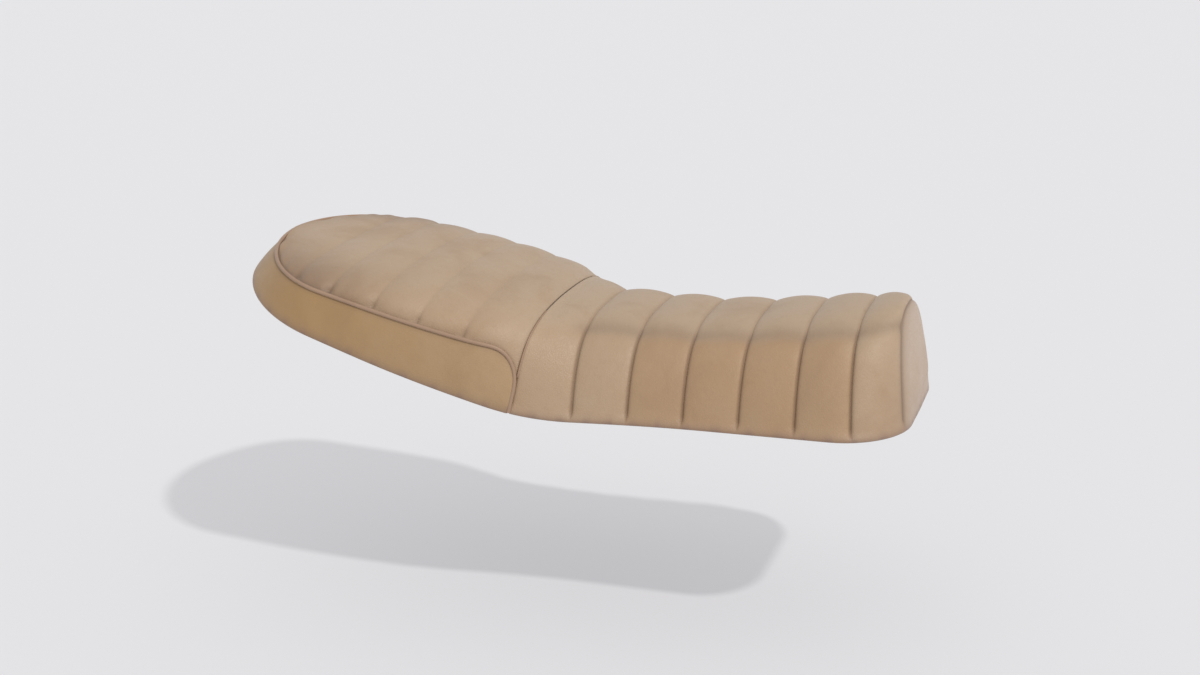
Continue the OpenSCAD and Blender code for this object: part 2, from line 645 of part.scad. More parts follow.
module hinge_frame_leaf() color(black) difference() {
    union() {
        leaf_plate(mount_z, hinge_t, 2);
        along_pin(-knuckle_len / 2) cylinder(r = knuckle_r, h = knuckle_len);
        translate([pin_x - knuckle_r, -knuckle_len / 2, mount_z])
            cube([knuckle_r, knuckle_len, pin_z - mount_z]);
    }
    leaf_holes(bolt_dy / 2, mount_z - 1, hinge_t + 2);
    along_pin(-knuckle_len / 2 - 1) cylinder(r = bush_r, h = knuckle_len + 2);
}

// A flanged bush fills half of the knuckle; the flange is its outer end.
module bush(side) color(bronze)
    translate([pin_x, side * knuckle_len / 2, pin_z]) rotate([-90 * side, 0, 0]) difference() {
        union() {
            translate([0, 0, -knuckle_len / 2 + 2]) cylinder(r = bush_r, h = knuckle_len / 2 - 2);
            cylinder(r = knuckle_r - 0.5, h = flange_t);
        }
        translate([0, 0, -knuckle_len]) cylinder(r = pin_r + pin_clear, h = 2 * knuckle_len);
    }
module hinge_bush_right() bush(-1);
module hinge_bush_left() bush(1);

pin_tail = washer_t + clip_t + 2;
module hinge_pin() color(zinc) difference() {
    union() {
        along_pin(-ear_out) cylinder(r = pin_r, h = 2 * ear_out + pin_tail);
        along_pin(-ear_out - pin_head_t) cylinder(r = pin_head_r, h = pin_head_t);
    }
    along_pin(ear_out + washer_t) difference() {
        cylinder(r = pin_r + 1, h = clip_t);
        translate([0, 0, -1]) cylinder(r = groove_r, h = clip_t + 2);
    }
}

module hinge_washer() color(zinc) along_pin(ear_out) difference() {
    cylinder(r = pin_r + 3.5, h = washer_t);
    translate([0, 0, -1]) cylinder(r = pin_r + 0.2, h = washer_t + 2);
}

module hinge_clip() color(zinc) along_pin(ear_out + washer_t) difference() {
    cylinder(r = pin_r + 2.2, h = clip_t);
    translate([0, 0, -1]) cylinder(r = groove_r, h = clip_t + 2);
    translate([-groove_r * 0.8, 0, -1]) cube([groove_r * 1.6, pin_r + 4, clip_t + 2]);
}

// Latch loop: a threaded U-bolt through the pan with plates and nuts on both sides.
loop_top = latch_top + backing_t + m8_nut_h + 2;
module latch_loop() color(zinc) on_base(latch_x) {
    for (y = [-loop_r, loop_r])
        translate([0, y, -loop_leg]) cylinder(r = rod_r, h = loop_leg + loop_top);
    translate([0, 0, -loop_leg]) rotate([0, 90, 0]) rotate([0, 0, -90])
        rotate_extrude(angle = 180) translate([loop_r, 0]) circle(r = rod_r);
}

module latch_sheet(z) {
    on_base(latch_x) difference() {
        translate([-latch_plate_x / 2, -latch_plate_y / 2, z])
            cube([latch_plate_x, latch_plate_y, backing_t]);
        for (y = [-loop_r, loop_r])
            translate([0, y, z - 1]) cylinder(r = rod_r + 0.3, h = backing_t + 2);
    }
}
module latch_plate() color(black) latch_sheet(latch_under - backing_t);
module latch_backing_plate() color(zinc) latch_sheet(latch_top);

module latch_nut_pair(z) {
    on_base(latch_x)
        for (y = [-loop_r, loop_r])
            translate([0, y, z]) difference() {
                cylinder(r = m8_hex, h = m8_nut_h, $fn = 6);
                translate([0, 0, -1]) cylinder(r = rod_r, h = m8_nut_h + 2);
            }
}
module latch_lock_nuts() color(zinc) latch_nut_pair(latch_under - backing_t - m8_nut_h);
module latch_nuts() color(zinc) latch_nut_pair(latch_top + backing_t);

// Everything is drawn with the origin at the middle of the frame leaf's bolts.
module placed() {
    translate([-mount_x, 0, -mount_z]) children();
}

placed() pleated_front_cover();
placed() pleated_rear_cover();
placed() tail_skirt();
placed() nose_panel();
placed() tail_piping();
placed() hem_band();
placed() hem_staples();
placed() front_roll_padding();
placed() rear_roll_padding();
placed() skirt_padding();
placed() nose_padding();
placed() foam_core();
placed() seat_pan();
placed() rest_rear_right();
placed() rest_rear_left();
placed() rest_front_right();
placed() rest_front_left();
placed() rest_screws();
placed() rest_nuts();
placed() hinge_seat_leaf();
placed() hinge_backing_plate();
placed() hinge_bolts();
placed() hinge_nuts();
placed() hinge_frame_leaf();
placed() hinge_bush_right();
placed() hinge_bush_left();
placed() hinge_pin();
placed() hinge_washer();
placed() hinge_clip();
placed() latch_loop();
placed() latch_plate();
placed() latch_lock_nuts();
placed() latch_backing_plate();
placed() latch_nuts();
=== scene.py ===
import math

import bpy
import numpy as np
from mathutils import Matrix


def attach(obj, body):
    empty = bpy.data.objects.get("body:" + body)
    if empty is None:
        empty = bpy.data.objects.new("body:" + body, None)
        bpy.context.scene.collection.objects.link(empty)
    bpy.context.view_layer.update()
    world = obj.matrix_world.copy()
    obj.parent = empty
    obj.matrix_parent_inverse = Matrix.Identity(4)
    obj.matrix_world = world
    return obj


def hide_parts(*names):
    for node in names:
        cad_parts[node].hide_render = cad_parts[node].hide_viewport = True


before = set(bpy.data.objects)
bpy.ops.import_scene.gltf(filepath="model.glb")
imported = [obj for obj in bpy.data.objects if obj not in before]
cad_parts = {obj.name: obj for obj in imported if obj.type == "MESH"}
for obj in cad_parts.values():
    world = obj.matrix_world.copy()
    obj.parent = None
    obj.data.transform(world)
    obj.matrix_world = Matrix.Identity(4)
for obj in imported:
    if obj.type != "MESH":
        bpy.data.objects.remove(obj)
scene = bpy.context.scene
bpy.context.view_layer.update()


# ---------------------------------------------------------------- camera
# Looks at the right-hand side from a little above, with the nose on the right. Degrees:
# round from the right-hand side towards the nose, up from level, and a slight roll.
camera_data = bpy.data.cameras.new("camera")
camera_data.sensor_width = 36.0
camera_data.lens = 49.78
camera_data.clip_end = 200.0
camera = bpy.data.objects.new("camera", camera_data)
cam_round, cam_up, cam_roll = (math.radians(a) for a in (19.84, 17.14, -1.878))
cam_place = (0.28579, -1.31004, 0.48372)
camera.matrix_world = (Matrix.Translation(cam_place) @ Matrix.Rotation(cam_round, 4, "Z")
                       @ Matrix.Rotation(math.pi / 2 - cam_up, 4, "X")
                       @ Matrix.Rotation(cam_roll, 4, "Z"))
scene.collection.objects.link(camera)
scene.camera = camera
scene.view_settings.view_transform = "Standard"
scene.view_settings.look = "None"


# ---------------------------------------------------------------- light and floor
# One small-disc sun from the nose side gives the crisp shadow edge, a pale even
# world and a faintly glowing pale floor fill the rest, so the shadow stays light.
sun_data = bpy.data.lights.new("key", "SUN")
sun_data.energy = 1.42
sun_data.angle = math.radians(2.4)
sun_data.color = (1.0, 0.975, 0.94)
sun = bpy.data.objects.new("key", sun_data)
sun_way = np.array([-0.758, 0.486, -1.0])
sun_z = -sun_way / np.linalg.norm(sun_way)
sun_x = np.cross([0.0, 1.0, 0.0], sun_z)
sun_x /= np.linalg.norm(sun_x)
sun_y = np.cross(sun_z, sun_x)
sun.matrix_world = Matrix([(sun_x[i], sun_y[i], sun_z[i], 2.0 * sun_z[i]) for i in range(3)]
                          + [(0, 0, 0, 1)])
scene.collection.objects.link(sun)

world = bpy.data.worlds.new("studio")
world.use_nodes = True
world.node_tree.nodes["Background"].inputs["Color"].default_value = (0.975, 0.985, 1.01, 1)
world.node_tree.nodes["Background"].inputs["Strength"].default_value = 0.64
scene.world = world

floor_z = -0.1819
floor_half = 60.0
floor_mesh = bpy.data.meshes.new("floor")
floor_mesh.from_pydata([(-floor_half, -floor_half, floor_z), (floor_half, -floor_half, floor_z),
                        (floor_half, floor_half, floor_z), (-floor_half, floor_half, floor_z)],
                       [], [(0, 1, 2, 3)])
floor = bpy.data.objects.new("floor", floor_mesh)
scene.collection.objects.link(floor)
floor_paint = bpy.data.materials.new("floor paint")
floor_paint.use_nodes = True
for label, value in (("Base Color", (0.45, 0.45, 0.45, 1)), ("Emission Strength", 0.352),
                     ("Emission Color", (0.995, 0.985, 1.03, 1)), ("Roughness", 0.9),
                     ("Specular IOR Level", 0.1)):
    floor_paint.node_tree.nodes["Principled BSDF"].inputs[label].default_value = value
floor_mesh.materials.append(floor_paint)


# ---------------------------------------------------------------- seat pan
# A moulded black tray under the whole seat, about 3.5 mm thick with an 11 mm rim
# rail, in grained plastic. Its solid from the frame is kept, with this surface on it.
class Graph:
    """Adds nodes to a tree: values that are sockets are linked, others are set."""

    def __init__(self, tree):
        self.tree = tree

    def add(self, kind, values=None, **props):
        node = self.tree.nodes.new(kind)
        for key, value in props.items():
            setattr(node, key, value)
        for key, value in (values or {}).items():
            if isinstance(value, bpy.types.NodeSocket):
                self.tree.links.new(value, node.inputs[key])
            else:
                node.inputs[key].default_value = value
        return node

    def math(self, how, a, b=0.0, clamp=False):
        return self.add("ShaderNodeMath", {0: a, 1: b}, operation=how, use_clamp=clamp).outputs[0]

    def mix(self, share, a, b):
        node = self.add("ShaderNodeMix", data_type="RGBA")
        for at, value in ((0, share), (6, a), (7, b)):
            if isinstance(value, bpy.types.NodeSocket):
                self.tree.links.new(value, node.inputs[at])
            else:
                node.inputs[at].default_value = value
        return node.outputs[2]

    def span(self, value, lo, hi, to_lo=0.0, to_hi=1.0):
        return self.add("ShaderNodeMapRange", {0: value, 1: lo, 2: hi, 3: to_lo, 4: to_hi}).outputs[0]

    def noise(self, where, scale, detail=3.0, rough=0.5, warp=0.0):
        return self.add("ShaderNodeTexNoise", {"Vector": where, "Scale": scale, "Detail": detail,
                                               "Roughness": rough, "Distortion": warp}).outputs[0]


def new_group(name, inputs, outputs):
    """A node group with named value or colour sockets; returns its graph, input and output."""
    group = bpy.data.node_groups.new(name, "ShaderNodeTree")
    for label, kind, value in inputs:
        socket = group.interface.new_socket(label, in_out="INPUT", socket_type=kind)
        if value is not None:
            socket.default_value = value
    for label, kind in outputs:
        group.interface.new_socket(label, in_out="OUTPUT", socket_type=kind)
    graph = Graph(group)
    return graph, graph.add("NodeGroupInput"), graph.add("NodeGroupOutput")


def new_material(name):
    """A material with its graph, its Principled node and its Object coordinates."""
    made = bpy.data.materials.new(name)
    made.use_nodes = True
    graph = Graph(made.node_tree)
    where = graph.add("ShaderNodeTexCoord").outputs["Object"]
    return made, graph, made.node_tree.nodes["Principled BSDF"], where


def feed(graph, node, values):
    """Sets or links the inputs of a node that is already there."""
    for key, value in values.items():
        if isinstance(value, bpy.types.NodeSocket):
            graph.tree.links.new(value, node.inputs[key])
        else:
            node.inputs[key].default_value = value


def dress(node, material):
    """Puts a material on a CAD node that stays as it is."""
    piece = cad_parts[node]
    piece.data.materials.clear()
    piece.data.materials.append(material)
    return piece


g, gin, gout = new_group("moulded grain", [("Vector", "NodeSocketVector", None)],
                         [("Height", "NodeSocketFloat"), ("Patch", "NodeSocketFloat")])
cells = g.add("ShaderNodeTexVoronoi", {"Vector": gin.outputs[0], "Scale": 950.0},
              feature="SMOOTH_F1")
grain = g.math("ADD", g.math("MULTIPLY", cells.outputs["Distance"], 0.7),
               g.math("MULTIPLY", g.noise(gin.outputs[0], 1400.0, 2.0), 0.5))
feed(g, gout, {"Height": grain, "Patch": g.noise(gin.outputs[0], 22.0, 4.0, 0.6)})

pan_plastic, g, shade, where = new_material("pan plastic")
grain = g.add("ShaderNodeGroup", {}, node_tree=bpy.data.node_groups["moulded grain"])
g.tree.links.new(where, grain.inputs["Vector"])
feed(g, shade, {
    "Base Color": g.mix(g.span(grain.outputs["Patch"], 0.35, 0.7), (0.018, 0.018, 0.02, 1),
                        (0.038, 0.037, 0.036, 1)),
    "Roughness": g.span(grain.outputs["Patch"], 0.3, 0.7, 0.52, 0.68),
    "Normal": g.add("ShaderNodeBump", {"Height": grain.outputs["Height"], "Strength": 0.5,
                                       "Distance": 0.0003}).outputs[0]})
dress("seat_pan", pan_plastic)


# ---------------------------------------------------------------- foam core
# The moulded foam block between the pan and the sewn padding: cream polyurethane
# with open cells, 14 mm above the base at its foot and 11.5 mm inside the leather.
seat_len, rear_w, nose_w = 600.0, 250.0, 202.0
narrow_from, narrow_to = 147.0, 440.0
tail_round, nose_corner = 99.0, 58.0
kick, kick_x, kick_blend, kick_curl = math.tan(math.radians(16.7)), 291.0, 38.0, 13.0
nose_h, nose_lean, nose_edge = 95.0, 9.0, 11.0
side_taper, front_square, tail_square = 0.23, 3.2, 2.3
pipe_h_tail, pipe_h_seam, pipe_in, pipe_back, pipe_turn = 31.0, 55.0, 5.0, 15.0, 30.0
edge_in = 1.52
leather_t, pad_in, pad_t, hem_curl = 1.8, 2.4, 7.0, 2.4
crown = np.array([(-60, 16), (15, 33), (110, 61), (200, 77), (300, 80.5), (380, 78), (450, 79),
                  (600, 95), (690, 104)], float)
cross_x, nose_seam = 277.0, 598.0
grooves = np.concatenate([65.0 + 39.8 * np.arange(5), [cross_x],
                          np.linspace(329.0, 561.0, 6), [nose_seam]])
origin = np.array([506.0, 0.0, -14.0])


def smooth(t):
    t = np.clip(t, 0, 1)
    return t * t * (3 - 2 * t)


def base_z(x):
    """Height of the base line: flat, then a parabola, then the kick with a small curl."""
    d = kick_x - x
    rise = np.where(d < -kick_blend, 0.0, np.where(
        d > kick_blend, kick * d, kick * (d + kick_blend) ** 2 / (4 * kick_blend)))
    return rise + kick_curl * (np.maximum(d, 0) / kick_x) ** 2


def place(x, y, z):
    """Millimetres from the tail, to the left and square to the base, as row metres."""
    slope = (base_z(x - 1) - base_z(x + 1)) / 2
    lean = nose_lean * np.clip((x - seat_len + 100) / 100, 0, 1) * z / nose_h
    x, y, z = np.broadcast_arrays(x + slope * z - lean, y, base_z(x) + z)
    return (np.stack([x, y, z], -1) - origin) / 1000


def crown_h(x):
    """Cubic Hermite curve through the crown heights, with neighbour differences as slopes."""
    i = np.clip(np.searchsorted(crown[:, 0], x, side="right") - 1, 1, len(crown) - 3)
    (x0, z0), (x1, z1) = crown[i].T.reshape(2, *np.shape(x)), crown[i + 1].T.reshape(2, *np.shape(x))
    lean = lambda k: (crown[k + 1, 1] - crown[k - 1, 1]) / (crown[k + 1, 0] - crown[k - 1, 0])
    w = x1 - x0
    t = (x - x0) / w
    return (z0 * (1 + 2 * t) * (1 - t) ** 2 + z1 * t * t * (3 - 2 * t)
            + w * lean(i) * t * (1 - t) ** 2 - w * lean(i + 1) * t * t * (1 - t))


def plan_w(s, d):
    """Half width of the outline at station s, inset by d, with an elliptical tail."""
    full = rear_w + (nose_w - rear_w) * smooth((s - narrow_from) / (narrow_to - narrow_from))
    a = np.clip(1 - s / tail_round, 0, 1)
    b = np.clip((s - seat_len + nose_corner) / nose_corner, 0, 1)
    return (full / 2 - d) * np.sqrt(1 - a * a) - (nose_corner - d) * (1 - np.sqrt(1 - b * b))


def plan_x(s, d, start):
    """Place along the seat of station s for an inset d and a start at the tail tip."""
    nose = seat_len - nose_corner
    return np.where(s < tail_round, start + (tail_round - start) * s / tail_round,
                    np.where(s > nose, nose + (s - nose) * (nose_corner - d) / nose_corner, s))


def pipe_h(s):
    return pipe_h_tail + (pipe_h_seam - pipe_h_tail) * np.clip(s / 330, 0, 1)


def front_share(s):
    return smooth((s - 225.0) / 110.0)


def flank(s, h, d, side):
    """A point on a side: the tail's skirt and the front's superellipse, blended."""
    w, f, hp = plan_w(s, d), front_share(s), pipe_h(s)
    r = np.clip(h / (crown_h(s) - d), 0, 1)
    half = ((1 - f) * (w - pipe_in * h / hp)
            + f * w * (1 - r ** front_square) ** (1 / front_square) * (1 - side_taper * r))
    x = plan_x(s, d, 0.0) + (d + pipe_back * h / hp) * np.clip(1 - s / tail_round, 0, 1)
    return np.stack(np.broadcast_arrays(x, side * np.maximum(half, 0), h), -1)


def top(s, t, d):
    """A point on the top, t from 0 at the right to 1 at the left: a superellipse dome."""
    x = plan_x(s, d, pipe_back + edge_in + d)
    w, hp, f = np.maximum(0.5, plan_w(s, d)), pipe_h(s), front_share(s)
    cap = nose_edge * (1 - np.sqrt(1 - np.clip((x - seat_len + nose_edge) / nose_edge, 0, 1) ** 2))
    peak = np.maximum(hp + 1, crown_h(x) - d - cap)
    c, sn, m = np.cos(np.pi * t), np.abs(np.sin(np.pi * t)), 2 / tail_square
    ty = np.maximum(0.4, w - pipe_in - edge_in) * np.sign(c) * np.abs(c) ** m
    tz = hp + (peak - hp) * sn ** m
    start = np.arcsin((hp / peak) ** (front_square / 2))
    turn, n = start + t * (np.pi - 2 * start), 2 / front_square
    rel = np.abs(np.sin(turn)) ** n
    fy = w * np.sign(np.cos(turn)) * np.abs(np.cos(turn)) ** n * (1 - side_taper * rel)
    return np.stack(np.broadcast_arrays(x, -((1 - f) * ty + f * fy),
                                        (1 - f) * tz + f * peak * rel), -1)


def arches(s, low, d, columns, curl=0.0, soften=3):
    """Sections over the seat, right to left: up one side from height low (rounded under
    by curl), over the top and down, respaced to even steps. Returns points in place() terms
    of (x, y, z), with the way along each arch in millimetres."""
    s = np.asarray(s, float)[:, None]
    low = np.broadcast_to(low, s.shape[0])[:, None]
    u = np.linspace(0, 1, 26)[None]
    right = flank(s, low + (pipe_h(s) - low) * u, d, -1)
    if curl:
        turn = np.clip((right[..., 2] - low) / curl, 0, 1)
        right[..., 1] += curl * (1 - np.sqrt(1 - (1 - turn) ** 2)) * 0.8
    left = right[:, ::-1] * [1, -1, 1]
    over = top(s, np.linspace(0, 1, 161)[None], d)
    line = np.concatenate([right[:, :-1], over, left[:, 1:]], 1)
    step = np.linalg.norm(np.diff(line, axis=1), axis=2)
    run = np.concatenate([0 * step[:, :1], np.cumsum(step, 1)], 1)
    out = np.empty((len(s), columns, 3))
    for k in range(len(s)):
        goal = np.linspace(0, run[k, -1], columns)
        out[k] = np.stack([np.interp(goal, run[k], line[k, :, c]) for c in range(3)], -1)
    for _ in range(soften):
        out[:, 2:-2] = (out[:, 1:-3] + 2 * out[:, 2:-2] + out[:, 3:-1]) / 4
    return out, run[:, -1:] * np.linspace(0, 1, columns)


def grid_normals(p):
    """Unit normals of a grid of points: rows crossed with columns."""
    n = np.cross(np.gradient(p, axis=0), np.gradient(p, axis=1))
    return n / np.maximum(np.linalg.norm(n, axis=-1, keepdims=True), 1e-12)


def grid_object(name, p, uv=None, masks=None, loop=False, merge=0.0):
    """A smooth mesh from a grid of points; loop joins the last column to the first."""
    rows, cols = p.shape[:2]
    i, j = np.meshgrid(np.arange(rows - 1), np.arange(cols if loop else cols - 1), indexing="ij")
    k = (j + 1) % cols
    quads = np.stack([i * cols + j, (i + 1) * cols + j, (i + 1) * cols + k, i * cols + k], -1)
    mesh = bpy.data.meshes.new(name)
    mesh.from_pydata(p.reshape(-1, 3), [], quads.reshape(-1, 4).tolist())
    for label, values in (masks or {}).items():
        mesh.attributes.new(label, "FLOAT", "POINT").data.foreach_set(
            "value", np.broadcast_to(values, (rows, cols)).astype(np.float32).ravel())
    if uv is not None:
        corner = np.empty(len(mesh.loops), np.int32)
        mesh.loops.foreach_get("vertex_index", corner)
        mesh.uv_layers.new(name="cut").data.foreach_set(
            "uv", uv.reshape(-1, 2)[corner].astype(np.float32).ravel())
    mesh.shade_smooth()
    piece = bpy.data.objects.new(name, mesh)
    scene.collection.objects.link(piece)
    if merge:
        tidy = piece.modifiers.new("merge", "WELD")
        tidy.merge_threshold = merge
    return piece


def shell(piece, thick, levels=1):
    """Gives a grid its thickness inwards and rounds it off."""
    wall = piece.modifiers.new("thickness", "SOLIDIFY")
    wall.thickness = thick / 1000
    wall.offset = -1.0
    wall.use_even_offset = False
    if levels:
        soft = piece.modifiers.new("smooth", "SUBSURF")
        soft.levels = soft.render_levels = levels
    return piece


def finish_soft(piece, node, material):
    """Declares a soft piece that stands for a CAD node of the saddle."""
    piece.data.materials.append(material)
    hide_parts(node)
    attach(piece, "saddle")


def tail_rows(first, last, count):
    """Stations along the elliptical tail, evenly spaced round its outline."""
    turn = lambda s: math.acos(1 - s / tail_round)
    return tail_round * (1 - np.cos(np.linspace(turn(first), turn(last), count)))


core_in, core_foot = 11.5, 14.2
stations = np.concatenate([tail_rows(2.0, 95.0, 16), np.linspace(104, 540, 70),
                           542 + 58 * np.sin(np.linspace(0.12, 1.5, 12))])
ring, _ = arches(stations, core_foot, core_in, 44)
inner = np.linspace(1, -1, 12)[None, 1:-1, None] * ring[:, :1] * [0, 1, 0]
floor_row = ring[:, :1] * [1, 0, 1] + inner[:, ::-1] * -1
ring = np.concatenate([ring, floor_row[:, ::-1]], 1)
middle = ring.mean(1, keepdims=True)
caps = [middle[end] + (ring[end] - middle[end]) * np.array([[0.001], [0.5], [0.9]])[:, :, None]
        for end in (0, -1)]
ring = np.concatenate([caps[0], ring, caps[1][::-1]], 0)
core = grid_object("core_foam", place(*np.moveaxis(ring, -1, 0)), loop=True, merge=2e-4)

foam, g, shade, where = new_material("foam")
cells = g.add("ShaderNodeTexVoronoi", {"Vector": where, "Scale": 520.0}, feature="SMOOTH_F1")
age = g.noise(where, 14.0, 4.0, 0.6)
feed(g, shade, {
    "Base Color": g.mix(g.span(age, 0.3, 0.75), (0.83, 0.77, 0.55, 1), (0.72, 0.60, 0.36, 1)),
    "Roughness": 0.95,
    "Normal": g.add("ShaderNodeBump", {"Height": cells.outputs["Distance"], "Strength": 0.8,
                                       "Distance": 0.0008}).outputs[0]})
finish_soft(core, "foam_core", foam)


# ---------------------------------------------------------------- front roll padding
# Sewn foam with a cloth back under the front rolls, 7 mm thick: it follows the leather's
# grooves on its outer face and stops 7.5 mm above the base, clear of the turned-in hem.
# Off-white needled cloth.
pad_foot = 7.5


def roll_rows(marks, each):
    """Stations between neighbouring grooves, closer together near each groove."""
    ease = (1 - np.cos(np.pi * np.arange(each) / each)) / 2
    ease = 0.8 * ease + 0.2 * np.arange(each) / each
    return np.concatenate([a + (b - a) * ease for a, b in zip(marks[:-1], marks[1:])]
                          + [[marks[-1]]])


def between(s):
    """How far along its roll a station is, 0 to 1, and its distance to the nearest groove."""
    s = np.asarray(s, float)
    i = np.clip(np.searchsorted(grooves, s, side="right") - 1, 0, len(grooves) - 2)
    share = np.clip((s - grooves[i]) / (grooves[i + 1] - grooves[i]), 0, 1)
    return share, np.abs(s[:, None] - grooves[None]).min(1)


tail_depth, front_depth = 2.4, 4.6


def tuck(s, over=0.0, crisp=1.0):
    """Inset at a station in millimetres: a round roll plus a narrow stitched crease. Rolls
    are flatter on the sides (over 0) than over the top (over 1), and shallow on the tail,
    beside the cross seam and at the nose seam."""
    share, gap = between(s)
    front = smooth((s - 240.0) / 37.0)[:, None]
    calm = 1 - (0.5 * np.exp(-((s - cross_x) / 9.0) ** 2)
                + 0.55 * np.exp(-((s - nose_seam) / 9.0) ** 2))[:, None]
    bow = np.sin(np.pi * share)[:, None] ** (0.55 + 0.3 * over)
    bow = np.where((s >= grooves[0])[:, None], 1 - bow, np.exp(-(gap / 7.0) ** 1.3)[:, None])
    crease = (0.8 + 0.9 * front * (1 - 0.4 * over)) * np.exp(-(gap / 1.2) ** 1.2)[:, None]
    depth = tail_depth + (front_depth - tail_depth) * front
    return calm * (depth * bow + crease * np.maximum(crisp, front))


def hem_fade(z):
    """Grooves fade out just above the hem."""
    return smooth((z - 1.0) / 8.0)


front_marks = grooves[5:]
s = roll_rows(front_marks, 8)
flat, _ = arches(s, pad_foot, pad_in, 64)
skin = place(*np.moveaxis(flat, -1, 0))
skin -= grid_normals(skin) * (tuck(s) * hem_fade(flat[..., 2]))[..., None] / 1000
padding = grid_object("front_rolls_foam", skin)
shell(padding, pad_t, 0)

pad_cloth, g, shade, where = new_material("padding cloth")
fibre = g.add("ShaderNodeTexNoise", {"Vector": where, "Scale": 700.0, "Detail": 6.0,
                                     "Roughness": 0.75}).outputs[0]
cloud = g.noise(where, 30.0, 3.0)
feed(g, shade, {
    "Base Color": g.mix(g.span(cloud, 0.3, 0.7), (0.80, 0.79, 0.74, 1), (0.70, 0.68, 0.62, 1)),
    "Roughness": 0.92,
    "Normal": g.add("ShaderNodeBump", {"Height": fibre, "Strength": 0.7,
                                       "Distance": 0.0006}).outputs[0]})
finish_soft(padding, "front_roll_padding", pad_cloth)


# ---------------------------------------------------------------- rear roll padding
# The same sewn foam under the domed tail top, from the tail tip to the cross seam.
rear_marks = grooves[:6]
s = np.concatenate([tail_rows(2.5, 65.0, 14)[:-1], roll_rows(rear_marks, 8)])
s[-1] -= 0.5
flat, _ = arches(s, pipe_h(s), pad_in, 44)
skin = place(*np.moveaxis(flat, -1, 0))
skin -= grid_normals(skin) * (1.25 * tuck(s, 1.0) + 0.9)[..., None] / 1000
padding = grid_object("rear_rolls_foam", skin)
shell(padding, pad_t, 0)
finish_soft(padding, "rear_roll_padding", pad_cloth)


# ---------------------------------------------------------------- skirt padding
# A plain foam strip behind the skirt, 7 mm thick, round the whole tail.
def skirt_walk(count_side, count_round, end):
    """Stations and sides of a walk from the right seam round the tail tip to the left."""
    side = np.linspace(end, tail_round, count_side)[:-1]
    turn = tail_round * (1 - np.sin(np.linspace(0, np.pi / 2, count_round)))
    half = np.concatenate([side, turn])
    walk = np.concatenate([half, half[-2::-1]])
    return walk, np.where(np.arange(len(walk)) < len(half), -1.0, 1.0)


def seam_h(s):
    """Height of the piping: along the skirt's top, then a quarter turn down at the seam."""
    past = np.clip(s - cross_x + pipe_turn, 0, pipe_turn)
    return pipe_h(s) - pipe_turn + np.sqrt(np.maximum(pipe_turn ** 2 - past ** 2, 0))


s, side = skirt_walk(30, 34, cross_x - 2.5)
share = np.linspace(0, 1, 7)[None]
pad_top = seam_h(s)[:, None] - 4.4
flat = flank(s[:, None], pad_foot + (pad_top - pad_foot) * share, pad_in, side[:, None])
padding = grid_object("skirt_foam", place(*np.moveaxis(flat, -1, 0))[:, ::-1])
shell(padding, pad_t, 0)
finish_soft(padding, "skirt_padding", pad_cloth)


# ---------------------------------------------------------------- nose padding
# Plain foam behind the nose panel, 7 mm thick.
def nose_grid(d, low, columns, rows_round, rows_face, curl=0.0):
    """The nose: arches round the corner, from just under the last roll, then the last arch
    drawn in over the flat face."""
    first = math.asin((nose_seam - 0.8 - seat_len + nose_corner) / nose_corner)
    s = seat_len - nose_corner + nose_corner * np.sin(np.linspace(first, np.pi / 2, rows_round))
    round_part, way = arches(s, low, d, columns, curl)
    draw = np.cos(np.linspace(0, np.pi / 2, rows_face + 1))[1:, None, None]
    last = round_part[-1:]
    face = last * [1, 0, 0] + (last - [0, 0, low]) * [0, 1, 1] * draw + np.array([0, 0, low])
    return np.concatenate([round_part, face], 0), s


def nose_skin(flat, s, deeper=0.0):
    """The nose in row metres, plump in the middle and drawn in at the seam and under the
    last roll, with each point's way from the seam in millimetres."""
    skin = place(*np.moveaxis(flat, -1, 0))
    z = flat[..., 2]
    reach = np.concatenate([0 * skin[:1, :, 0], np.cumsum(
        np.linalg.norm(np.diff(skin, axis=0), axis=2), 0)]) * 1000
    reach -= reach[np.abs(s - nose_seam).argmin()]
    under, reach = np.minimum(reach, 0), np.maximum(reach, 0)
    push = (5.0 * smooth(reach / 42) * smooth((z + 1) / 30) + 0.4 * under - deeper
            - (1.7 * np.exp(-(reach / 4.0) ** 1.2) + 1.0 * np.exp(-(reach / 1.4) ** 1.2))
            * hem_fade(z) - 0.6 * (1 - hem_fade(z)) * (under < 0))
    return skin + grid_normals(skin) * push[..., None] / 1000, reach


flat, s = nose_grid(pad_in, pad_foot, 44, 8, 10)
padding = grid_object("nose_foam", nose_skin(flat, s, 1.8)[0], merge=2e-4)
shell(padding, pad_t, 0)
finish_soft(padding, "nose_padding", pad_cloth)


